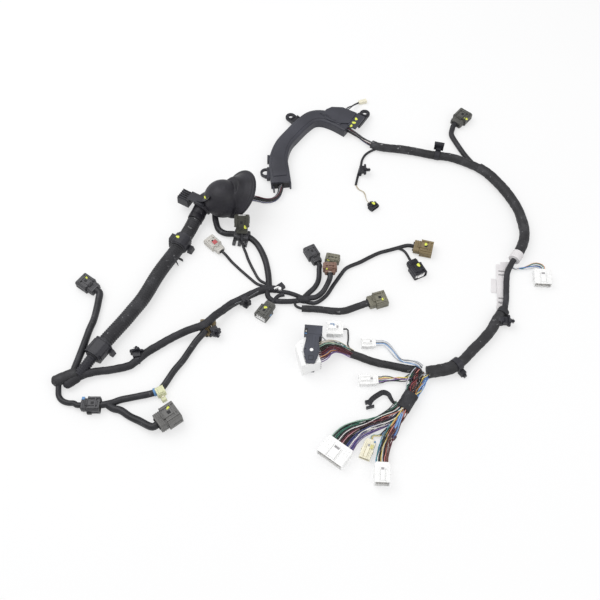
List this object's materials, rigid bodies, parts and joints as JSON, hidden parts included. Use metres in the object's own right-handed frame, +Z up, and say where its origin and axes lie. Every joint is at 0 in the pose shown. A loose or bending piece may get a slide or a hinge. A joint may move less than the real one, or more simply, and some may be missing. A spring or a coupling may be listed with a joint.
{
  "type": "vehicle wiring harness",
  "caption": "Vehicle wiring harness laid flat: taped cable runs, corrugated conduit with rubber grommet, moulded cable cover, sealed plugs, white plugs, clips and a lever-lock plug.",
  "frame": {"origin": "on the surface it lies on, under the middle of its outline", "axes": "+X runs to the right along its longest extent, +Y away from the viewer of the picture, +Z up"},
  "size_m": [0.7038, 0.6672, 0.06],
  "materials": {
    "cloth_tape": "matt",
    "cable_jacket": "satin",
    "rubber": "matt",
    "black_plastic": "satin",
    "dark_grey_plastic": "satin",
    "grey_plastic": "satin",
    "pale_grey_plastic": "satin",
    "brown_plastic": "satin",
    "white_plastic": "satin",
    "yellowed_plastic": "satin",
    "coloured_wires": "satin",
    "paper_label": "matt"
  },
  "bodies": {
    "harness": {"hub_wrap": "cloth_tape", "middle_trunk": "cloth_tape", "sleeve_cable": "cloth_tape", "neck_sleeve": "cloth_tape", "outer_trunk": "cloth_tape", "end_sleeve": "cloth_tape", "front_trunk": "cloth_tape", "bundle_wrap": "cloth_tape", "corrugated_conduit": "cable_jacket", "sensor_cable": "cable_jacket", "loop_cable_short": "cable_jacket", "loop_cable_long": "cable_jacket", "drop_cables": "cable_jacket", "centre_cables": "cable_jacket", "side_cable": "cable_jacket", "corner_cable": "cable_jacket", "thin_top_cable": "cable_jacket", "label_plug_wires": "cable_jacket", "single_wire": "cable_jacket", "cover_wires": "coloured_wires", "lever_plug_wires": "coloured_wires", "upper_small_wires": "coloured_wires", "lower_small_wires": "coloured_wires", "main_bundle": "coloured_wires", "right_bundle": "coloured_wires", "left_bundle": "coloured_wires", "grommet": "rubber", "cable_cover_tray": "black_plastic", "cable_cover_lid": "black_plastic", "black_plug": "black_plastic", "thin_lead_plug": "black_plastic", "conduit_clip": "black_plastic", "corner_bracket": "black_plastic", "left_sensor_plug": "dark_grey_plastic", "upright_plug": "dark_grey_plastic", "lower_plug": "dark_grey_plastic", "cluster_top_plug": "dark_grey_plastic", "cluster_middle_plug": "dark_grey_plastic", "corner_plug": "dark_grey_plastic", "conduit_clamp": "dark_grey_plastic", "drop_clip": "dark_grey_plastic", "inline_plug": "grey_plastic", "large_grey_plug": "grey_plastic", "sleeve_plug": "grey_plastic", "grey_white_plug": "pale_grey_plastic", "stub_lead": "pale_grey_plastic", "tucked_plug": "brown_plastic", "cluster_bottom_plug": "brown_plastic", "brown_plug": "brown_plastic", "label_white_plug": "white_plastic", "single_wire_white_plug": "white_plastic", "upper_small_white_plug": "white_plastic", "lower_small_white_plug": "white_plastic", "wide_white_plug": "white_plastic", "end_white_plug": "white_plastic", "lever_plug_housing": "white_plastic", "yellowed_white_plug": "yellowed_plastic", "arm_clip": "yellowed_plastic", "flag_label": "paper_label"},
    "lever": {"lock_lever": "black_plastic"}
  },
  "joints": [
    {"name": "lever_swing", "type": "hinge", "parent": "harness", "child": "lever", "pos_m": [0.0031, -0.1517, 0.0147], "axis": [0, 0, 1], "range_deg": [0, 38]}
  ]
}
